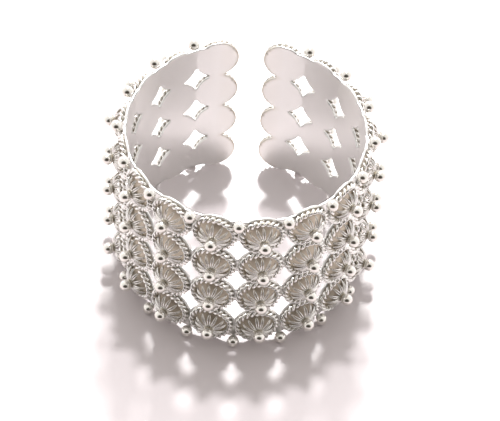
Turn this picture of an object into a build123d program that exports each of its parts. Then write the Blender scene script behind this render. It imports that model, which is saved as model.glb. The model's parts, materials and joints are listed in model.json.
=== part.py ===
from build123d import *
import os
from math import asin, cos, degrees, radians, sin, sqrt

os.makedirs("parts", exist_ok=True)

# An open filigree band ring, standing on its edge granules with its axis upright.
# The front faces -Y and the opening is at the back, on +Y.

# Driving sizes, in millimetres
FINGER_DIAMETER = 17.4
BAND_THICKNESS = 0.2
ROWS = 4
DISC_SPACING = 3.36  # between the centres of two discs, along the band and across it
DISC_OVERLAP = 0.04  # of two neighbouring discs
NECK_WIDTH = 1.25  # of the metal and solder that join two discs
LOBE_RADIUS = 1.0  # of the lobe between two discs, along the band's two edges
LEAST_OPENING = 1.2  # between the two free ends; as many columns as this allows go round
END_TRIM = 0.05  # how much shorter than a whole disc each free end is
CREST_FILING = 0.03  # filed off the crests of the discs and lobes along the band's two edges
RIM_WIDTH = 0.38  # across the twisted wire round each disc
RIM_HEIGHT = 0.4
RIM_ROUNDING = 0.14
RIM_SPACING = 0.1  # between the rims of two rows
ROSETTE_SPACING = 0.1  # between a rim and the rosette inside it
ROSETTE_EDGE_HEIGHT = 0.3  # of the loops' tips
ROSETTE_TOP_HEIGHT = 0.87  # where the loops meet under the granule
ROSETTE_BULGE = 0.14  # how far the loops arch out from a straight line between the two
GRANULE_RADIUS = 0.44
GRANULE_SEAT = 0.06  # how deep a granule sits in the loops under it
EDGE_GRANULE_RADIUS = 0.45
EDGE_GRANULE_REACH = 1.44  # from the centres of an outer row's discs to its edge granules' centres
SOLDER_GAP = 0.02  # under what is soldered on the sheet

# The lattice of discs: square, as measured on the outer face of the sheet
inner_radius = FINGER_DIAMETER / 2
outer_radius = inner_radius + BAND_THICKNESS
seat_radius = outer_radius + SOLDER_GAP
half_spacing = DISC_SPACING / 2
half_neck = NECK_WIDTH / 2
disc_radius = (DISC_SPACING + DISC_OVERLAP) / 2
crest = disc_radius - CREST_FILING
half_crest = sqrt(disc_radius**2 - crest**2)
end_reach = disc_radius - END_TRIM

half_column_angle = degrees(asin(half_spacing / outer_radius))
column_angle = 2 * half_column_angle
end_angle = degrees(asin((end_reach + LEAST_OPENING / 2) / outer_radius))
columns = 1 + int((360 - 2 * end_angle) / column_angle)
column_angles = [column_angle * (column - (columns - 1) / 2) for column in range(columns)]
between_columns = [angle + half_column_angle for angle in column_angles[:-1]]

# The ring stands on its lower edge granules, at height 0.
lowest_row = EDGE_GRANULE_REACH + EDGE_GRANULE_RADIUS
highest_row = lowest_row + DISC_SPACING * (ROWS - 1)
row_heights = [highest_row - DISC_SPACING * row for row in range(ROWS)]
between_rows = [height - half_spacing for height in row_heights[:-1]]
band_bottom = lowest_row - crest
band_top = highest_row + crest
band_width = band_top - band_bottom
band_middle = (band_bottom + band_top) / 2


def facing_out(angle, height, radius):
    """A plane square to the radius. Angle 0 is the front, and X runs round the band."""
    turn = radians(angle)
    outward = Vector(sin(turn), -cos(turn), 0)
    along = Vector(cos(turn), sin(turn), 0)
    return Plane(origin=outward * radius + Vector(0, 0, height), x_dir=along, z_dir=outward)


# The four-pointed opening between four discs, with its points blunted by solder
point_reach = half_spacing - half_neck
with BuildSketch() as star:
    Rectangle(2 * point_reach, 2 * point_reach)
    with GridLocations(DISC_SPACING, DISC_SPACING, 2, 2):
        Circle(disc_radius, mode=Mode.SUBTRACT)

# The scrap along an edge over two discs and the lobe between them, with its origin level with their centres
scrap_height = crest + disc_radius
with BuildSketch() as edge_scrap:
    Rectangle(2 * (half_spacing - half_crest), scrap_height, align=(Align.CENTER, Align.MIN))
    with Locations((-half_spacing, 0), (half_spacing, 0)):
        Circle(disc_radius, mode=Mode.SUBTRACT)
    with Locations((0, disc_radius - LOBE_RADIUS)):
        Circle(LOBE_RADIUS, mode=Mode.SUBTRACT)

# The scrap past a free end, with its origin on the end column
with BuildSketch() as end_scrap:
    with Locations((half_neck - END_TRIM, band_middle)):
        Rectangle(2 * disc_radius, 2 * band_width, align=(Align.MIN, Align.CENTER))
    with Locations((half_crest - END_TRIM, highest_row)):
        Rectangle(disc_radius, scrap_height, align=(Align.MIN, Align.MIN))
    with Locations((half_crest - END_TRIM, lowest_row)):
        Rectangle(disc_radius, scrap_height, align=(Align.MIN, Align.MAX))
    with Locations([(-END_TRIM, height) for height in row_heights]):
        Circle(disc_radius, mode=Mode.SUBTRACT)

# The backing band: a strip bent round, then pierced, scalloped and cut to length
blank_end = column_angles[-1] + degrees(asin((end_reach + LEAST_OPENING / 4) / outer_radius))
blank_start = facing_out(-blank_end, band_middle, inner_radius + BAND_THICKNESS / 2)
cutting_radius = outer_radius + 2 * BAND_THICKNESS
cut_depth = 5 * BAND_THICKNESS
with BuildPart() as band:
    with BuildSketch(Plane(blank_start.origin, x_dir=blank_start.z_dir, z_dir=-blank_start.x_dir)):
        Rectangle(BAND_THICKNESS, band_width)
    revolve(axis=Axis.Z, revolution_arc=2 * blank_end)
    for angle in between_columns:
        for height in between_rows:
            with BuildSketch(facing_out(angle, height, cutting_radius)):
                add(star.sketch)
        for height, turn in ((highest_row, 0), (lowest_row, 180)):
            with BuildSketch(facing_out(angle, height, cutting_radius)):
                add(edge_scrap.sketch, rotation=turn)
        extrude(amount=-cut_depth, mode=Mode.SUBTRACT)
    with BuildSketch(facing_out(column_angles[-1], 0, cutting_radius)):
        add(end_scrap.sketch)
    with BuildSketch(facing_out(column_angles[0], 0, cutting_radius)):
        mirror(end_scrap.sketch, about=Plane.YZ)
    extrude(amount=-cut_depth, mode=Mode.SUBTRACT)
band.part.label = "band"

# One rim: the wire round a disc, bent with the band
rim_outer_radius = half_spacing - RIM_SPACING / 2
rim_inner_radius = rim_outer_radius - RIM_WIDTH
with BuildPart() as rim:
    Cylinder(seat_radius + RIM_HEIGHT, DISC_SPACING)
    Cylinder(seat_radius, DISC_SPACING, mode=Mode.SUBTRACT)
    with BuildSketch(facing_out(0, 0, outer_radius - rim_outer_radius)):
        Circle(rim_outer_radius)
        Circle(rim_inner_radius, mode=Mode.SUBTRACT)
    extrude(amount=2 * rim_outer_radius + RIM_HEIGHT, mode=Mode.INTERSECT)
    rim_crown = rim.faces().sort_by(Axis.Y)[0]
    fillet(rim_crown.edges(), RIM_ROUNDING)

# One rosette: wire loops that rise to the granule soldered on top of them
rosette_radius = rim_inner_radius - ROSETTE_SPACING
granule_height = ROSETTE_TOP_HEIGHT + GRANULE_RADIUS - GRANULE_SEAT
seat_width = sqrt(GRANULE_RADIUS**2 - (GRANULE_RADIUS - GRANULE_SEAT) ** 2)
loop_foot = (rosette_radius, ROSETTE_EDGE_HEIGHT)
loop_top = (seat_width, ROSETTE_TOP_HEIGHT)
granule_top = (0, granule_height + GRANULE_RADIUS)
with BuildPart() as rosette:
    with BuildSketch(Plane(origin=(0, -outer_radius, 0), x_dir=(1, 0, 0), z_dir=(0, 0, -1))):
        with BuildLine():
            Polyline(granule_top, (0, -rosette_radius), (rosette_radius, -rosette_radius), loop_foot)
            SagittaArc(loop_top, loop_foot, ROSETTE_BULGE)
            ThreePointArc(loop_top, (GRANULE_RADIUS, granule_height), granule_top)
        make_face()
    revolve(axis=Axis((0, -outer_radius, 0), (0, -1, 0)))
    Cylinder(seat_radius, DISC_SPACING, mode=Mode.SUBTRACT)

# One granule of the edges
with BuildPart() as edge_granule:
    with Locations((0, -(seat_radius + EDGE_GRANULE_RADIUS), 0)):
        Sphere(EDGE_GRANULE_RADIUS)


def write_round_the_band(piece, name, height, angles):
    """Writes copies of a piece that was made at the front, turned to each angle."""
    with BuildPart() as copies:
        with Locations([Location((0, 0, height), (0, 0, angle)) for angle in angles]):
            add(piece.part)
    copies.part.label = name
    export_step(copies.part, f"parts/{name}.step")


export_step(band.part, "parts/band.step")
for number, height in enumerate(row_heights, start=1):
    write_round_the_band(rim, f"rims_row_{number}", height, column_angles)
    write_round_the_band(rosette, f"rosettes_row_{number}", height, column_angles)
write_round_the_band(edge_granule, "edge_granules_top", highest_row + EDGE_GRANULE_REACH, between_columns)
write_round_the_band(edge_granule, "edge_granules_bottom", EDGE_GRANULE_RADIUS, between_columns)
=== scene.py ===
import json
import math
import random

import bmesh
import bpy
from bpy.props import FloatProperty, FloatVectorProperty, IntProperty, PointerProperty
from bpy.types import Operator, Panel, PropertyGroup
from mathutils import Matrix, Vector


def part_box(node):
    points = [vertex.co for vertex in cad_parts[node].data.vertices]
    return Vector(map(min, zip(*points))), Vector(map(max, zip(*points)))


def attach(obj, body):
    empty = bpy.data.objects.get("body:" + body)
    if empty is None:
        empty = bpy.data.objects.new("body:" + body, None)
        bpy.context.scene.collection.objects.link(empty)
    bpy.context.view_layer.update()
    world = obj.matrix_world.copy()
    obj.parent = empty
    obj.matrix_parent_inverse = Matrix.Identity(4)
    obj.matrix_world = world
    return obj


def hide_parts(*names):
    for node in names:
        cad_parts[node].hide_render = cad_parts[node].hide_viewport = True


bl_info = {
    "name": "Filigree Band Ring",
    "version": (1, 0, 0),
    "blender": (4, 5, 0),
    "location": "View3D > Sidebar > Filigree Ring",
    "description": "Dresses an open silver band ring with its twisted wire, looped rosettes and granules",
    "category": "Object",
}

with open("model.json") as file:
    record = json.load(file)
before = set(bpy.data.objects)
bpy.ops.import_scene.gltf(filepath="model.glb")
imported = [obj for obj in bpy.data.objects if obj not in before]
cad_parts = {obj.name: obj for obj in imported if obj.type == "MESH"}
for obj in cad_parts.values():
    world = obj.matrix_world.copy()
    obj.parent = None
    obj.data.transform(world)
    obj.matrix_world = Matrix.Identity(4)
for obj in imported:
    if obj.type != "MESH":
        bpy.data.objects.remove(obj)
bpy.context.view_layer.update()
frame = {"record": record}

MM = 0.001
HAIR = 0.0001 * MM
MERGE = 0.002 * MM
ROWS = 4
COLUMNS = 16
# How polished and lit each vertex is: a low value gets painted shade in its colour and more roughness
POLISH_AND_LIGHT = "polish_and_light"

# What is seeded: the same small unevenness each time
SEED = 7
ROSETTE_PATTERNS = 5
REACH_SPREAD = (0.965, 1.0)
WIDTH_SPREAD = (0.88, 1.1)
TILT_SPREAD = (-0.05, 0.05)
TURN_SPREAD = (-0.08, 0.08)

# The sheet
LOBE_CUTS = 7
SHARP_EDGE = math.radians(60)
OUTER_FACE = 0.9
# The least painted shade towards a free end, as a share of the full end shade
LEAST_END_SHADE = 0.12

# Painted shade in the grooves of the twisted wire, by the distance from its core as a share of its radius
GROOVE_DEPTH = 0.36
GROOVE_FADE = 0.22

# The wire loops: their form as exponents and shares, and how painted shade darkens the underside and inner
# side of their wire
DOME_ROUNDNESS = 2.4
RING_WIRE = 0.25
TIP_FULLNESS = 0.75
SIDE_FULLNESS = 0.6
NARROW_END = 0.35
OPEN_BY = 0.6
SLOPE_STEP = 0.02
OUTWARD_ALONG = 0.9
LOOP_POLISH_AND_LIGHT = 0.8
LIFT_POLISH_AND_LIGHT = 0.6
OUTSIDE_POLISH_AND_LIGHT = 0.3

# The collar of solder under a granule, and the painted shade that fades up from it onto the granule
COLLAR_FOOT_RADIUS = 0.36 * MM
COLLAR_TOP_RADIUS = 0.27 * MM
COLLAR_DEPTH = 0.16 * MM
COLLAR_TOP = 0.8
COLLAR_FADE = 0.2

# The lattice of discs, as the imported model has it
band_low, band_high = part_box("band")
outer_radius = (band_high.x - band_low.x) / 2
inner_radius = frame["record"]["mounts"][0]["dims"]["r_mm"] * MM
sheet_thickness = outer_radius - inner_radius
row_boxes = [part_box(f"rims_row_{row}") for row in range(1, ROWS + 1)]
row_heights = [(low.z + high.z) / 2 for low, high in row_boxes]
band_middle = (band_low.z + band_high.z) / 2
crest = band_high.z - row_heights[0]
disc_spacing = (row_heights[0] - row_heights[-1]) / (ROWS - 1)
half_spacing = disc_spacing / 2
column_angle = 2 * math.asin(half_spacing / outer_radius)
column_angles = [column_angle * (column - (COLUMNS - 1) / 2) for column in range(COLUMNS)]
between_columns = [angle + column_angle / 2 for angle in column_angles[:-1]]
edge_boxes = {side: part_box(f"edge_granules_{side}") for side in ("top", "bottom")}
edge_granule_heights = {side: (low.z + high.z) / 2 for side, (low, high) in edge_boxes.items()}
edge_granule_radius = (edge_boxes["top"][1].z - edge_boxes["top"][0].z) / 2
edge_granule_orbit = -edge_boxes["top"][0].y - edge_granule_radius


class BandProperties(PropertyGroup):
    disc_radius: FloatProperty(
        name="Disc Radius", description="Of each disc of the sheet", default=1.70 * MM, unit="LENGTH"
    )
    ground_radius: FloatProperty(
        name="Ground Radius", description="Of the dull ground inside each rim",
        default=1.42 * MM, unit="LENGTH"
    )
    neck_width: FloatProperty(
        name="Neck Width", description="Metal and solder that join two discs",
        default=1.25 * MM, unit="LENGTH"
    )
    lobe_radius: FloatProperty(
        name="Lobe Radius", description="Of the lobe between two discs, along the edges", default=1.0 * MM,
        unit="LENGTH"
    )
    end_trim: FloatProperty(
        name="End Trim", description="Filed off each free end", default=0.05 * MM, unit="LENGTH"
    )
    # Painted shade along the edges of the free ends
    end_shade: FloatProperty(
        name="End Dulling", description="How much polish the edges of the free ends lack", default=1.0,
        min=0.0, max=1.0
    )
    flatness: FloatProperty(
        name="Flatness", description="How far each column is from round, at 0, to flat, at 1", default=0.35,
        min=0.0, max=1.0
    )
    edge_rounding: FloatProperty(
        name="Edge Rounding", description="Radius worn on the sheet's edges", default=0.09 * MM, unit="LENGTH"
    )
    strips_per_disc: IntProperty(
        name="Strips per Disc", description="Facets that one disc's width is bent in", default=16, min=4
    )
    outline_segments: IntProperty(
        name="Outline Segments", description="Segments of a whole disc's outline", default=72, min=24
    )


class RimProperties(PropertyGroup):
    wire_orbit: FloatProperty(
        name="Wire Orbit", description="From a disc's centre to the twisted wire's", default=1.46 * MM,
        unit="LENGTH"
    )
    strand_radius: FloatProperty(
        name="Strand Radius", description="Radius of one of the two strands",
        default=0.12 * MM, unit="LENGTH"
    )
    strand_offset: FloatProperty(
        name="Strand Offset", description="From the rim's centre line to a strand's",
        default=0.115 * MM, unit="LENGTH"
    )
    seat: FloatProperty(
        name="Seat", description="How deep the twisted wire sits in its solder",
        default=0.05 * MM, unit="LENGTH"
    )
    twists: IntProperty(
        name="Twists", description="Whole turns of the strands round one disc", default=11, min=3
    )
    steps_per_twist: IntProperty(
        name="Steps per Twist", description="Sections of wire in one turn of the strands", default=12, min=6
    )
    sides: IntProperty(name="Sides", description="Sides of a strand's section", default=8, min=4)


class RosetteProperties(PropertyGroup):
    loops: IntProperty(name="Loops", description="Wire loops in one rosette", default=13, min=5)
    wire_radius: FloatProperty(
        name="Wire Radius", description="Radius of the loops' wire", default=0.056 * MM, unit="LENGTH"
    )
    outer_reach: FloatProperty(
        name="Outer Reach", description="From the disc's centre to the tips of the loops",
        default=1.17 * MM, unit="LENGTH"
    )
    inner_reach: FloatProperty(
        name="Inner Reach", description="From the disc's centre to the loops' inner ends", default=0.2 * MM,
        unit="LENGTH"
    )
    foot_height: FloatProperty(
        name="Foot Height", description="Of the wire's centre at the tips, above the sheet",
        default=0.28 * MM, unit="LENGTH"
    )
    dome_height: FloatProperty(
        name="Dome Height", description="Of the wire's centre under the granule",
        default=0.82 * MM, unit="LENGTH"
    )
    loop_width: FloatProperty(
        name="Loop Width", description="Between the two strands of a loop at its tip", default=0.16 * MM,
        unit="LENGTH"
    )
    sides: IntProperty(name="Sides", description="Sides of the wire's section", default=4, min=4)
    steps: IntProperty(name="Steps", description="Sections of wire in one loop", default=18, min=12)


class GranuleProperties(PropertyGroup):
    radius: FloatProperty(
        name="Radius", description="Of the granule on a rosette", default=0.45 * MM, unit="LENGTH"
    )
    height: FloatProperty(
        name="Height", description="Of its centre above the sheet", default=1.25 * MM, unit="LENGTH"
    )
    segments: IntProperty(name="Segments", description="Segments round a granule", default=28, min=12)


class SilverProperties(PropertyGroup):
    bright: FloatVectorProperty(
        name="Bright Silver", description="Where the metal is polished", subtype="COLOR", size=4,
        default=(0.97, 0.965, 0.945, 1.0), min=0.0, max=1.0
    )
    granule: FloatVectorProperty(
        name="Granule", description="The fused granules", subtype="COLOR", size=4,
        default=(0.90, 0.875, 0.83, 1.0), min=0.0, max=1.0
    )
    sheet: FloatVectorProperty(
        name="Sheet", description="The satin face and edges of the band", subtype="COLOR", size=4,
        default=(0.91, 0.905, 0.89, 1.0), min=0.0, max=1.0
    )
    # Painted shade on the sheet's ground under a rosette, standing in for its recess and the shadowed floor
    # it mirrors
    ground: FloatVectorProperty(
        name="Ground", description="The dull sheet under a rosette", subtype="COLOR", size=4,
        default=(0.70, 0.63, 0.52, 1.0), min=0.0, max=1.0
    )
    # Painted shade between the strands, on the loops' undersides and round the granules' collars
    recess_shade: FloatVectorProperty(
        name="Groove", description="Tarnish between strands of wire", subtype="COLOR", size=4,
        default=(0.55, 0.495, 0.41, 1.0), min=0.0, max=1.0
    )


class StageProperties(PropertyGroup):
    floor_size: FloatProperty(
        name="Floor Size", description="Width of the square floor", default=1.2, unit="LENGTH"
    )
    floor_colour: FloatVectorProperty(
        name="Floor Colour", description="Of the plain pale floor", subtype="COLOR", size=4,
        default=(0.68, 0.625, 0.635, 1.0), min=0.0, max=1.0
    )


def facing(angle):
    """The turn from the front to a place round the band."""
    return Matrix.Rotation(angle, 4, "Z")


def bend_to_band(bm):
    """Bends what was made flat at the front: X along the band, Y up it and Z out of its face."""
    for vert in bm.verts:
        along, up, out = vert.co
        radius = outer_radius + out
        vert.co = (along, -math.sqrt(radius * radius - along * along), up)


def place_round_band(template, height, angles, turns=None):
    """A mesh with a copy of the template at each angle, at one height."""
    bm = bmesh.new()
    for number, angle in enumerate(angles):
        copy = template[number % len(template)].copy()
        if turns:
            copy.transform(Matrix.Rotation(turns[number], 4, "Z"))
        placed = bmesh.new()
        placed.from_mesh(copy)
        if turns:
            bend_to_band(placed)
        place = Matrix.Translation((0, 0, height)) @ facing(angle)
        bmesh.ops.transform(placed, matrix=place, verts=placed.verts)
        placed.to_mesh(copy)
        bm.from_mesh(copy)
        placed.free()
        bpy.data.meshes.remove(copy)
    return bm


def template_mesh(bm, name):
    """The bmesh as a loose mesh, for copying."""
    mesh = bpy.data.meshes.new(name)
    bm.to_mesh(mesh)
    bm.free()
    return mesh


def finished_piece(bm, name, material, slot, *nodes):
    """A piece of the ring from its mesh, smooth, riding on the ring's one body."""
    bmesh.ops.recalc_face_normals(bm, faces=bm.faces)
    for face in bm.faces:
        face.smooth = True
    mesh = bpy.data.meshes.new(name)
    bm.to_mesh(mesh)
    bm.free()
    mesh.materials.append(material)
    piece = bpy.data.objects.new(name, mesh)
    bpy.context.scene.collection.objects.link(piece)
    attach(piece, "root")
    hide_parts(*nodes)
    return piece


def new_group(name, inputs, outputs):
    """An empty shader node group with its sockets, given as (name, socket type, default)."""
    group = bpy.data.node_groups.new(name, "ShaderNodeTree")
    for label, kind, default in inputs:
        socket = group.interface.new_socket(name=label, in_out="INPUT", socket_type=kind)
        socket.default_value = default
    for label, kind in outputs:
        group.interface.new_socket(name=label, in_out="OUTPUT", socket_type=kind)
    return group, group.nodes.new("NodeGroupInput"), group.nodes.new("NodeGroupOutput")


def shaded_silver_group():
    """Silver that is bright and smooth where polished and lit, and rougher with painted shade where the mark
    is low.
    """
    group, inputs, outputs = new_group(
        "Silver With Painted Shade",
        [
            ("Recess", "NodeSocketColor", (0.5, 0.5, 0.5, 1.0)),
            ("Bright", "NodeSocketColor", (0.9, 0.9, 0.9, 1.0)),
            ("Recess Roughness", "NodeSocketFloat", 0.45),
            ("Smoothest", "NodeSocketFloat", 0.1),
            ("Roughest", "NodeSocketFloat", 0.3),
            ("Patch Scale", "NodeSocketFloat", 600.0),
            ("Mark Scale", "NodeSocketFloat", 5000.0),
        ],
        [("Base Color", "NodeSocketColor"), ("Roughness", "NodeSocketFloat"), ("Marks", "NodeSocketFloat")],
    )
    polish_and_light = group.nodes.new("ShaderNodeAttribute")
    polish_and_light.attribute_name = POLISH_AND_LIGHT
    colour = group.nodes.new("ShaderNodeMix")
    colour.data_type = "RGBA"
    place = group.nodes.new("ShaderNodeTexCoord")
    patches = group.nodes.new("ShaderNodeTexNoise")
    patches.inputs["Detail"].default_value = 3.0
    marks = group.nodes.new("ShaderNodeTexNoise")
    marks.inputs["Detail"].default_value = 2.0
    spread = group.nodes.new("ShaderNodeMapRange")
    spread.inputs["From Min"].default_value = 0.35
    spread.inputs["From Max"].default_value = 0.65
    roughness = group.nodes.new("ShaderNodeMix")
    link = group.links.new
    link(polish_and_light.outputs["Fac"], colour.inputs["Factor"])
    link(inputs.outputs["Recess"], colour.inputs["A"])
    link(inputs.outputs["Bright"], colour.inputs["B"])
    link(place.outputs["Object"], patches.inputs["Vector"])
    link(place.outputs["Object"], marks.inputs["Vector"])
    link(inputs.outputs["Patch Scale"], patches.inputs["Scale"])
    link(inputs.outputs["Mark Scale"], marks.inputs["Scale"])
    link(patches.outputs["Fac"], spread.inputs["Value"])
    link(inputs.outputs["Smoothest"], spread.inputs["To Min"])
    link(inputs.outputs["Roughest"], spread.inputs["To Max"])
    link(polish_and_light.outputs["Fac"], roughness.inputs["Factor"])
    link(inputs.outputs["Recess Roughness"], roughness.inputs["A"])
    link(spread.outputs["Result"], roughness.inputs["B"])
    link(colour.outputs["Result"], outputs.inputs["Base Color"])
    link(roughness.outputs["Result"], outputs.inputs["Roughness"])
    link(marks.outputs["Fac"], outputs.inputs["Marks"])
    return group


def silver_material(name, shade_colour, bright, smoothest, roughest, mark_depth):
    """Silver in two colours: painted shade where the mark is low, and bright metal where it is high."""
    material = bpy.data.materials.get(name)
    if material:
        return material
    material = bpy.data.materials.new(name)
    material.use_nodes = True
    tree = material.node_tree
    shader = tree.nodes["Principled BSDF"]
    shader.inputs["Metallic"].default_value = 1.0
    shaded_silver = tree.nodes.new("ShaderNodeGroup")
    shaded_silver.node_tree = bpy.data.node_groups.get("Silver With Painted Shade") or shaded_silver_group()
    shaded_silver.inputs["Recess"].default_value = shade_colour
    shaded_silver.inputs["Bright"].default_value = bright
    shaded_silver.inputs["Smoothest"].default_value = smoothest
    shaded_silver.inputs["Roughest"].default_value = roughest
    bump = tree.nodes.new("ShaderNodeBump")
    bump.inputs["Strength"].default_value = 0.5
    bump.inputs["Distance"].default_value = mark_depth
    link = tree.links.new
    link(shaded_silver.outputs["Base Color"], shader.inputs["Base Color"])
    link(shaded_silver.outputs["Roughness"], shader.inputs["Roughness"])
    link(shaded_silver.outputs["Marks"], bump.inputs["Height"])
    link(bump.outputs["Normal"], shader.inputs["Normal"])
    return material


def sheet_silver(silver):
    """Satin, with painted shade on the ground of the rosettes and along the free ends."""
    return silver_material(
        "Sheet Silver", silver.ground, silver.sheet, smoothest=0.32, roughest=0.37, mark_depth=0.008 * MM
    )


def wire_silver(silver):
    """Bright, with painted shade between the strands and under the loops."""
    return silver_material(
        "Wire Silver", silver.recess_shade, silver.bright, smoothest=0.16, roughest=0.26, mark_depth=0.003 * MM
    )


def granule_silver(silver):
    """Fused granules, almost a mirror, with painted shade round their collars."""
    return silver_material(
        "Granule Silver", silver.recess_shade, silver.granule, smoothest=0.06, roughest=0.12, mark_depth=0.001 * MM
    )


def mark_polish_and_light(bm, polish_and_light):
    """Stores on each vertex how polished and lit it is, from 0, rougher and in painted shade, to 1, polished
    and bright.
    """
    layer = bm.verts.layers.float.new(POLISH_AND_LIGHT)
    for vert in bm.verts:
        vert[layer] = min(1.0, max(0.0, polish_and_light(vert.co)))


def clip(bm, point, direction):
    """Takes away what lies past a plane."""
    bmesh.ops.bisect_plane(
        bm, geom=bm.verts[:] + bm.edges[:] + bm.faces[:], dist=HAIR, plane_co=point, plane_no=direction,
        clear_outer=True
    )


def score(bm, point, direction):
    """Cuts every face along a plane, and takes nothing away."""
    bmesh.ops.bisect_plane(
        bm, geom=bm.verts[:] + bm.edges[:] + bm.faces[:], dist=HAIR, plane_co=point, plane_no=direction
    )


def grow_edges(bm, edges):
    """Faces from these edges, and the new vertices at their far side."""
    grown = bmesh.ops.extrude_edge_only(bm, edges=edges)["geom"]
    return [part for part in grown if isinstance(part, bmesh.types.BMVert)]


def add_web(bm, axis, side, low, high):
    """Fills between a disc's outline and the border of its cell, on one side, from low to high along it."""
    def in_span(place):
        return side * place[axis] > 0 and low - HAIR < place[1 - axis] < high + HAIR

    edges = [
        edge for edge in bm.edges
        if edge.is_boundary
        and all(in_span(vert.co) for vert in edge.verts)
        and any(side * vert.co[axis] < half_spacing - HAIR for vert in edge.verts)
    ]
    for vert in grow_edges(bm, edges):
        vert.co[axis] = side * half_spacing


def web_top(bm, side, up, foot):
    """The edges along the top of the web beside a disc, which a lobe stands on."""
    def on_top(place):
        return side * place.x > foot.x - HAIR and abs(place.y - up * foot.y) < HAIR

    return [edge for edge in bm.edges if edge.is_boundary and all(on_top(vert.co) for vert in edge.verts)]


def add_lobe(bm, band, side, up, foot):
    """The half of a lobe that stands on the web beside a disc of an outer row."""
    bmesh.ops.subdivide_edges(bm, edges=web_top(bm, side, up, foot), cuts=LOBE_CUTS)
    for vert in grow_edges(bm, web_top(bm, side, up, foot)):
        from_middle = half_spacing - abs(vert.co.x)
        rise = math.sqrt(band.lobe_radius ** 2 - from_middle ** 2)
        vert.co.y = up * min(crest, band.disc_radius - band.lobe_radius + rise)


def lobe_foot(band):
    """Where a lobe's outline meets that of the disc beside it, from the disc's centre."""
    lobe_middle = Vector((half_spacing, band.disc_radius - band.lobe_radius))
    apart = lobe_middle.length
    along = (apart ** 2 + band.disc_radius ** 2 - band.lobe_radius ** 2) / (2 * apart)
    aside = math.sqrt(band.disc_radius ** 2 - along ** 2)
    unit = lobe_middle / apart
    return unit * along + Vector((-unit.y, unit.x)) * aside


def sheet_cell(band, row, free_side):
    """One disc of the flat sheet, with what joins it to its neighbours. Free side is -1, 1, or 0 for none."""
    bm = bmesh.new()
    ground = bmesh.ops.create_circle(
        bm, segments=band.outline_segments, radius=band.ground_radius, cap_ends=True
    )["verts"]
    for vert in grow_edges(bm, list({edge for vert in ground for edge in vert.link_edges})):
        vert.co *= band.disc_radius / band.ground_radius
    foot = lobe_foot(band)
    half_neck = band.neck_width / 2
    sides = [side for side in (-1, 1) if side != free_side]
    edge_rows = {0: 1, ROWS - 1: -1}
    for side in sides:
        clip(bm, (side * half_spacing, 0, 0), (side, 0, 0))
    for up in (-1, 1):
        limit = crest if edge_rows.get(row) == up else half_spacing
        clip(bm, (0, up * limit, 0), (0, up, 0))
        score(bm, (0, up * half_neck, 0), (0, 1, 0))
        score(bm, (up * half_neck, 0, 0), (1, 0, 0))
        if edge_rows.get(row) == up:
            score(bm, (0, up * foot.y, 0), (0, 1, 0))
    low = -foot.y if edge_rows.get(row) == -1 else -half_neck
    high = foot.y if edge_rows.get(row) == 1 else half_neck
    for side in sides:
        add_web(bm, 0, side, low, high)
        if row in edge_rows:
            add_lobe(bm, band, side, edge_rows[row], foot)
    for up in (-1, 1):
        if edge_rows.get(row) != up:
            add_web(bm, 1, up, -half_neck, half_neck)
    for vert in bm.verts:
        if vert.co.x * free_side > 0:
            vert.co.x *= 1 - band.end_trim / band.disc_radius
    return bm


def flat_sheet(band):
    """The whole pierced sheet, flat: X along the band, Y up it and Z out of its face."""
    bm = bmesh.new()
    for row in range(ROWS):
        for free_side, columns in ((-1, [0]), (0, range(1, COLUMNS - 1)), (1, [COLUMNS - 1])):
            cell = template_mesh(sheet_cell(band, row, free_side), "cell")
            for column in columns:
                copy = cell.copy()
                along = (column - (COLUMNS - 1) / 2) * disc_spacing
                copy.transform(Matrix.Translation((along, row_heights[row], 0)))
                bm.from_mesh(copy)
                bpy.data.meshes.remove(copy)
            bpy.data.meshes.remove(cell)
    bmesh.ops.remove_doubles(bm, verts=bm.verts, dist=MERGE)
    return bm


def sheet_polish_and_light(band, place):
    """None on the outer face inside the rims, where shade is painted, less along the free ends, where painted
    shade darkens their edges, and full everywhere else.
    """
    nearest_column = min(COLUMNS - 1, max(0, round(place.x / disc_spacing + (COLUMNS - 1) / 2)))
    aside = place.x - (nearest_column - (COLUMNS - 1) / 2) * disc_spacing
    above = min(abs(place.y - height) for height in row_heights)
    from_centre = math.hypot(aside, above)
    past_ground = (from_centre - band.ground_radius) / (band.disc_radius - band.ground_radius)
    # Painted shade on the outer face inside the rims
    if place.z > OUTER_FACE * sheet_thickness:
        return past_ground
    # Painted shade along the edges of the free ends, strongest at their outline
    free_side = {0: -1, COLUMNS - 1: 1}.get(nearest_column, 0)
    towards_end = max(0.0, free_side * aside) / max(from_centre, HAIR)
    return 1.0 - band.end_shade * towards_end * max(LEAST_END_SHADE, past_ground)


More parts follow.
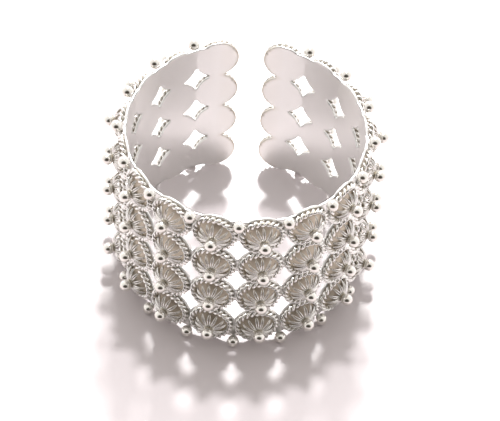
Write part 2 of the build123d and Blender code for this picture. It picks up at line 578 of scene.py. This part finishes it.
class FILIGREE_OT_band(Operator):
    """Make the pierced and scalloped sheet, bent round the finger"""

    bl_idname = "filigree.band"
    bl_label = "Band"

    def execute(self, context):
        band = context.scene.filigree_band
        bm = flat_sheet(band)
        strip = disc_spacing / band.strips_per_disc
        strips = COLUMNS * band.strips_per_disc
        for number in range(-strips // 2, strips // 2 + 1):
            score(bm, (number * strip, 0, 0), (1, 0, 0))
        faces = bmesh.ops.extrude_face_region(bm, geom=bm.faces[:])["geom"]
        raised = [part for part in faces if isinstance(part, bmesh.types.BMVert)]
        bmesh.ops.translate(bm, vec=(0, 0, sheet_thickness), verts=raised)
        bmesh.ops.recalc_face_normals(bm, faces=bm.faces)
        corners = [
            edge for edge in bm.edges
            if len(edge.link_faces) == 2 and edge.calc_face_angle(0) > SHARP_EDGE
        ]
        bmesh.ops.bevel(
            bm, geom=corners, offset=band.edge_rounding, affect="EDGES", segments=3, profile=0.5,
            material=-1
        )
        # Painted shade on the rosettes' ground and along the free ends
        mark_polish_and_light(bm, lambda place: sheet_polish_and_light(band, place))
        half_column = column_angle / 2
        for vert in bm.verts:
            angle = vert.co.x / half_spacing * half_column
            from_column = (angle % column_angle) - half_column
            flat = math.cos(half_column) / math.cos(from_column)
            radius = (inner_radius + vert.co.z) * (1 + band.flatness * (flat - 1))
            vert.co = (radius * math.sin(angle), -radius * math.cos(angle), vert.co.y)
        silver = context.scene.filigree_silver
        piece = finished_piece(bm, "pierced_band", sheet_silver(silver), "band_silver", "band")
        normals = piece.modifiers.new("Even shading", "WEIGHTED_NORMAL")
        normals.keep_sharp = False
        return {"FINISHED"}


def twisted_rim(rim):
    """The two strands of one rim, twisted about each other and closed in a ring, bent with the band."""
    bm = bmesh.new()
    lie = rim.strand_offset + rim.strand_radius - rim.seat
    for strand in range(2):
        before = len(bm.verts)
        section = Matrix.Translation((rim.wire_orbit, 0, 0)) @ Matrix.Rotation(math.pi / 2, 4, "X")
        ring = bmesh.ops.create_circle(
            bm, segments=rim.sides, radius=rim.strand_radius, matrix=section
        )["verts"]
        edges = list({edge for vert in ring for edge in vert.link_edges})
        bmesh.ops.spin(
            bm, geom=ring + edges, axis=(0, 0, 1), cent=(0, 0, 0), angle=2 * math.pi,
            steps=rim.twists * rim.steps_per_twist, use_merge=True
        )
        bm.verts.ensure_lookup_table()
        for vert in bm.verts[before:]:
            round_disc = math.atan2(vert.co.y, vert.co.x)
            lay = rim.twists * round_disc + strand * math.pi
            outward = Vector((vert.co.x, vert.co.y, 0)).normalized()
            vert.co += outward * rim.strand_offset * math.cos(lay)
            vert.co.z += rim.strand_offset * math.sin(lay) + lie
    thickness = rim.strand_offset + rim.strand_radius

    def depth(place):
        from_core = math.hypot(math.hypot(place.x, place.y) - rim.wire_orbit, place.z - lie)
        return (from_core / thickness - GROOVE_DEPTH) / GROOVE_FADE

    # Painted shade in the grooves between the strands, deepest near the core
    mark_polish_and_light(bm, depth)
    bend_to_band(bm)
    return template_mesh(bm, "rim")


class FILIGREE_OT_rims(Operator):
    """Make the rims of twisted wire, a row at a time"""

    bl_idname = "filigree.rims"
    bl_label = "Rims"

    def execute(self, context):
        silver = context.scene.filigree_silver
        template = [twisted_rim(context.scene.filigree_rim)]
        for row, height in enumerate(row_heights, start=1):
            bm = place_round_band(template, height, column_angles)
            finished_piece(
                bm, f"twisted_rims_row_{row}", wire_silver(silver), "wire_silver", f"rims_row_{row}"
            )
        bpy.data.meshes.remove(template[0])
        return {"FINISHED"}


def dome(rosette, share):
    """Height of the loops over the sheet, from their tips at 0 to the granule at 1."""
    rise = math.sqrt(max(0.0, 1.0 - (1.0 - share) ** DOME_ROUNDNESS))
    return rosette.foot_height + (rosette.dome_height - rosette.foot_height) * rise


def wire_loop(rosette, reach, width, tilt):
    """One loop of wire, lying on the dome, with its tip towards +X."""
    bm = bmesh.new()
    section = Matrix.Translation((1, 0, 0)) @ Matrix.Rotation(math.pi / 2, 4, "X")
    ring = bmesh.ops.create_circle(
        bm, segments=rosette.sides, radius=RING_WIRE, matrix=section
    )["verts"]
    edges = list({edge for vert in ring for edge in vert.link_edges})
    bmesh.ops.spin(
        bm, geom=ring + edges, axis=(0, 0, 1), cent=(0, 0, 0), angle=2 * math.pi,
        steps=rosette.steps, use_merge=True
    )
    inner = rosette.inner_reach
    polish_and_light = bm.verts.layers.float.new(POLISH_AND_LIGHT)
    for vert in bm.verts:
        turn = math.atan2(vert.co.y, vert.co.x)
        aside = (math.hypot(vert.co.x, vert.co.y) - 1) / RING_WIRE * rosette.wire_radius
        lift = vert.co.z / RING_WIRE * rosette.wire_radius
        out = 0.5 + 0.5 * math.copysign(abs(math.cos(turn)) ** TIP_FULLNESS, math.cos(turn))
        across = math.copysign(abs(math.sin(turn)) ** SIDE_FULLNESS, math.sin(turn))
        radius = inner + (reach - inner) * out
        opened = (radius - inner) / (OPEN_BY * (reach - inner))
        crowding = min(1.0, NARROW_END + (1 - NARROW_END) * opened)
        side = across * width / 2 * crowding + tilt * (radius - inner)
        share = (reach - radius) / (reach - inner)
        rise = dome(rosette, min(1.0, share + SLOPE_STEP)) - dome(rosette, share)
        slope = math.atan2(rise, -SLOPE_STEP * (reach - inner))
        normal = Vector((math.sin(slope), 0, -math.cos(slope)))
        path = Vector((radius, side, dome(rosette, share)))
        outward = Vector((math.cos(turn) * OUTWARD_ALONG, math.sin(turn), 0)).normalized()
        vert.co = path + outward * aside + normal * lift
        # Painted shade on the underside and inner side of the wire
        lit = LOOP_POLISH_AND_LIGHT + (LIFT_POLISH_AND_LIGHT * lift + OUTSIDE_POLISH_AND_LIGHT * aside) / rosette.wire_radius
        vert[polish_and_light] = min(1.0, max(0.0, lit))
    return bm


def looped_rosette(rosette, chance):
    """The loops of one rosette, flat on its disc, with their small unevenness."""
    bm = bmesh.new()
    for number in range(rosette.loops):
        reach = rosette.outer_reach * chance.uniform(*REACH_SPREAD)
        width = rosette.loop_width * chance.uniform(*WIDTH_SPREAD)
        tilt = chance.uniform(*TILT_SPREAD)
        loop = wire_loop(rosette, reach, width, tilt)
        turn = 2 * math.pi * (number + chance.uniform(*TURN_SPREAD)) / rosette.loops
        bmesh.ops.rotate(
            loop, cent=(0, 0, 0), matrix=Matrix.Rotation(turn, 3, "Z"), verts=loop.verts
        )
        mesh = template_mesh(loop, "loop")
        bm.from_mesh(mesh)
        bpy.data.meshes.remove(mesh)
    return template_mesh(bm, "rosette")


class FILIGREE_OT_rosettes(Operator):
    """Make the domed rosettes of wire loops, a row at a time"""

    bl_idname = "filigree.rosettes"
    bl_label = "Rosettes"

    def execute(self, context):
        rosette = context.scene.filigree_rosette
        silver = context.scene.filigree_silver
        chance = random.Random(SEED)
        templates = [looped_rosette(rosette, chance) for number in range(ROSETTE_PATTERNS)]
        for row, height in enumerate(row_heights, start=1):
            turns = [chance.uniform(0, 2 * math.pi) for angle in column_angles]
            bm = place_round_band(templates, height, column_angles, turns)
            finished_piece(
                bm, f"wire_loops_row_{row}", wire_silver(silver), "wire_silver", f"rosettes_row_{row}"
            )
        for mesh in templates:
            bpy.data.meshes.remove(mesh)
        return {"FINISHED"}


def seated_granule(granule):
    """A granule with the collar of solder that holds it on its loops, at the front of the ring."""
    bm = bmesh.new()
    out = Matrix.Translation((0, -outer_radius, 0)) @ Matrix.Rotation(math.pi / 2, 4, "X")
    bmesh.ops.create_uvsphere(
        bm, u_segments=granule.segments, v_segments=granule.segments // 2, radius=granule.radius,
        matrix=out @ Matrix.Translation((0, 0, granule.height))
    )
    collar_top = granule.height - COLLAR_TOP * granule.radius
    bmesh.ops.create_cone(
        bm, segments=granule.segments, radius1=COLLAR_FOOT_RADIUS, radius2=COLLAR_TOP_RADIUS,
        depth=COLLAR_DEPTH, cap_ends=True,
        matrix=out @ Matrix.Translation((0, 0, collar_top - COLLAR_DEPTH / 2))
    )
    # Painted shade on the collar and the granule's foot, fading upward
    mark_polish_and_light(bm, lambda place: (-place.y - outer_radius - collar_top) / (COLLAR_FADE * granule.radius))
    return template_mesh(bm, "granule")


class FILIGREE_OT_granules(Operator):
    """Make the granules on the rosettes, a row at a time"""

    bl_idname = "filigree.granules"
    bl_label = "Granules"

    def execute(self, context):
        silver = context.scene.filigree_silver
        template = [seated_granule(context.scene.filigree_granule)]
        for row, height in enumerate(row_heights, start=1):
            bm = place_round_band(template, height, column_angles)
            finished_piece(
                bm, f"granules_row_{row}", granule_silver(silver), "granule_silver", f"rosettes_row_{row}"
            )
        bpy.data.meshes.remove(template[0])
        return {"FINISHED"}


class FILIGREE_OT_edge_granules(Operator):
    """Make the granules on the lobes along both edges"""

    bl_idname = "filigree.edge_granules"
    bl_label = "Edge Granules"

    def execute(self, context):
        silver = context.scene.filigree_silver
        segments = context.scene.filigree_granule.segments
        for side, height in edge_granule_heights.items():
            bm = bmesh.new()
            bmesh.ops.create_uvsphere(
                bm, u_segments=segments, v_segments=segments // 2, radius=edge_granule_radius,
                matrix=Matrix.Translation((0, -edge_granule_orbit, 0))
            )
            mark_polish_and_light(bm, lambda place: 1.0)
            template = [template_mesh(bm, "edge granule")]
            placed = place_round_band(template, height, between_columns)
            bpy.data.meshes.remove(template[0])
            finished_piece(
                placed, f"notch_granules_{side}", granule_silver(silver), "granule_silver",
                f"edge_granules_{side}"
            )
        return {"FINISHED"}


# Where the photograph was taken from, worked out from the places of the discs and granules in it
CAMERA_BACK = 110.64 * MM
CAMERA_HEIGHT = 125.25 * MM
CAMERA_ROUND = math.radians(0.697)
CAMERA_YAW = math.radians(-0.371)
CAMERA_PITCH = math.radians(49.097)
CAMERA_ROLL = math.radians(3.369)
CAMERA_LENS = 161.4
CAMERA_SENSOR = 36.0


# The room's light, by the way that it comes from
ROOM_BACK = (1.25, 1.23, 1.22, 1.0)
ROOM_FRONT = (0.95, 0.92, 0.885, 1.0)
BRIGHT_DIRECTION = (0.0, 0.94, -0.34)
ROOM_DARK = (0.08, 0.07, 0.06, 1.0)
DARK_ELEVATION = math.radians(16)
DARK_DIRECTION = (0.0, -math.cos(DARK_ELEVATION), math.sin(DARK_ELEVATION))


def set_camera():
    """The camera, where the photograph was taken from."""
    camera_data = bpy.data.cameras.new("camera")
    camera_data.sensor_width = CAMERA_SENSOR
    camera_data.lens = CAMERA_LENS
    camera_data.clip_start = 0.01
    camera = bpy.data.objects.new("camera", camera_data)
    bpy.context.scene.collection.objects.link(camera)
    place = Vector((
        CAMERA_BACK * math.sin(CAMERA_ROUND), -CAMERA_BACK * math.cos(CAMERA_ROUND),
        band_middle + CAMERA_HEIGHT
    ))
    camera.matrix_world = (
        Matrix.Translation(place)
        @ Matrix.Rotation(-CAMERA_YAW, 4, "Z")
        @ Matrix.Rotation(math.pi / 2 - CAMERA_PITCH, 4, "X")
        @ Matrix.Rotation(CAMERA_ROLL, 4, "Z")
    )
    bpy.context.scene.camera = camera


def add_softbox(name, azimuth, elevation, distance, size, power, colour):
    """A square soft light that looks at the ring. Azimuth 0 is in front, and 90 to its right."""
    light = bpy.data.lights.new(name, "AREA")
    light.shape = "SQUARE"
    light.size = size
    light.energy = power
    light.color = colour
    lamp = bpy.data.objects.new(name, light)
    bpy.context.scene.collection.objects.link(lamp)
    turn = math.radians(azimuth)
    lift = math.radians(elevation)
    towards = Vector((math.sin(turn) * math.cos(lift), -math.cos(turn) * math.cos(lift), math.sin(lift)))
    lamp.location = Vector((0, 0, band_middle)) + towards * distance
    lamp.rotation_mode = "QUATERNION"
    lamp.rotation_quaternion = (-towards).to_track_quat("-Z", "Y")


def direction_ramp(tree, direction, low, high):
    """A mask that rises from 0 to 1 as the view turns towards a direction, between two cosines."""
    place = tree.nodes.new("ShaderNodeTexCoord")
    turned = tree.nodes.new("ShaderNodeVectorMath")
    turned.operation = "DOT_PRODUCT"
    turned.inputs[1].default_value = direction
    ramp = tree.nodes.new("ShaderNodeMapRange")
    ramp.interpolation_type = "SMOOTHSTEP"
    ramp.inputs["From Min"].default_value = low
    ramp.inputs["From Max"].default_value = high
    tree.links.new(place.outputs["Generated"], turned.inputs[0])
    tree.links.new(turned.outputs["Value"], ramp.inputs["Value"])
    return ramp.outputs["Result"]


def room_light():
    """A room with a bright side behind the ring, and a dark patch in front of it."""
    world = bpy.data.worlds.new("room")
    bpy.context.scene.world = world
    world.use_nodes = True
    tree = world.node_tree
    background = tree.nodes["Background"]
    background.inputs["Strength"].default_value = 1.0
    room = tree.nodes.new("ShaderNodeMix")
    room.data_type = "RGBA"
    room.inputs["A"].default_value = ROOM_FRONT
    room.inputs["B"].default_value = ROOM_BACK
    shaded = tree.nodes.new("ShaderNodeMix")
    shaded.data_type = "RGBA"
    shaded.inputs["B"].default_value = ROOM_DARK
    link = tree.links.new
    link(direction_ramp(tree, BRIGHT_DIRECTION, low=-0.45, high=0.5), room.inputs["Factor"])
    link(room.outputs["Result"], shaded.inputs["A"])
    link(direction_ramp(tree, DARK_DIRECTION, low=0.52, high=0.88), shaded.inputs["Factor"])
    link(shaded.outputs["Result"], background.inputs["Color"])


def floor_material(colour):
    """Pale and plain, with a faint sheen that mirrors the ring."""
    material = bpy.data.materials.new("Pale Floor")
    material.use_nodes = True
    tree = material.node_tree
    shader = tree.nodes["Principled BSDF"]
    shader.inputs["Base Color"].default_value = colour
    shader.inputs["Roughness"].default_value = 0.6
    shader.inputs["Coat Weight"].default_value = 0.4
    shader.inputs["Coat Roughness"].default_value = 0.2
    return material


class FILIGREE_OT_stage(Operator):
    """Make the floor, the soft lights and the camera"""

    bl_idname = "filigree.stage"
    bl_label = "Stage"

    def execute(self, context):
        stage = context.scene.filigree_stage
        bm = bmesh.new()
        bmesh.ops.create_grid(bm, x_segments=1, y_segments=1, size=stage.floor_size / 2)
        mesh = bpy.data.meshes.new("floor")
        bm.to_mesh(mesh)
        bm.free()
        mesh.materials.append(floor_material(stage.floor_colour))
        floor = bpy.data.objects.new("floor", mesh)
        context.scene.collection.objects.link(floor)
        add_softbox(
            "overhead", azimuth=180, elevation=71.5, distance=0.5, size=0.035, power=1.35,
            colour=(1.0, 0.985, 1.0)
        )
        add_softbox(
            "window", azimuth=180, elevation=47, distance=0.5, size=0.06, power=1.65,
            colour=(1.0, 0.99, 0.98)
        )
        room_light()
        set_camera()
        context.scene.view_settings.view_transform = "Standard"
        return {"FINISHED"}


class FILIGREE_PT_ring(Panel):
    """The pieces of the ring, in the order that they are made"""

    bl_idname = "FILIGREE_PT_ring"
    bl_label = "Filigree Ring"
    bl_space_type = "VIEW_3D"
    bl_region_type = "UI"
    bl_category = "Filigree Ring"

    def draw(self, context):
        column = self.layout.column()
        for operator in OPERATORS:
            column.operator(operator.bl_idname)
        for settings in SETTINGS:
            group = getattr(context.scene, settings)
            box = self.layout.box()
            for name in group.__annotations__:
                box.prop(group, name)


SETTINGS = {
    "filigree_band": BandProperties,
    "filigree_rim": RimProperties,
    "filigree_rosette": RosetteProperties,
    "filigree_granule": GranuleProperties,
    "filigree_silver": SilverProperties,
    "filigree_stage": StageProperties,
}
OPERATORS = [
    FILIGREE_OT_band,
    FILIGREE_OT_rims,
    FILIGREE_OT_rosettes,
    FILIGREE_OT_granules,
    FILIGREE_OT_edge_granules,
    FILIGREE_OT_stage,
]
CLASSES = [*SETTINGS.values(), *OPERATORS, FILIGREE_PT_ring]


def register():
    for cls in CLASSES:
        bpy.utils.register_class(cls)
    for name, group in SETTINGS.items():
        setattr(bpy.types.Scene, name, PointerProperty(type=group))


def unregister():
    for name in SETTINGS:
        delattr(bpy.types.Scene, name)
    for cls in reversed(CLASSES):
        bpy.utils.unregister_class(cls)


def main():
    register()
    bpy.ops.filigree.band()
    bpy.ops.filigree.rims()
    bpy.ops.filigree.rosettes()
    bpy.ops.filigree.granules()
    bpy.ops.filigree.edge_granules()
    bpy.ops.filigree.stage()


if __name__ == "__main__":
    main()
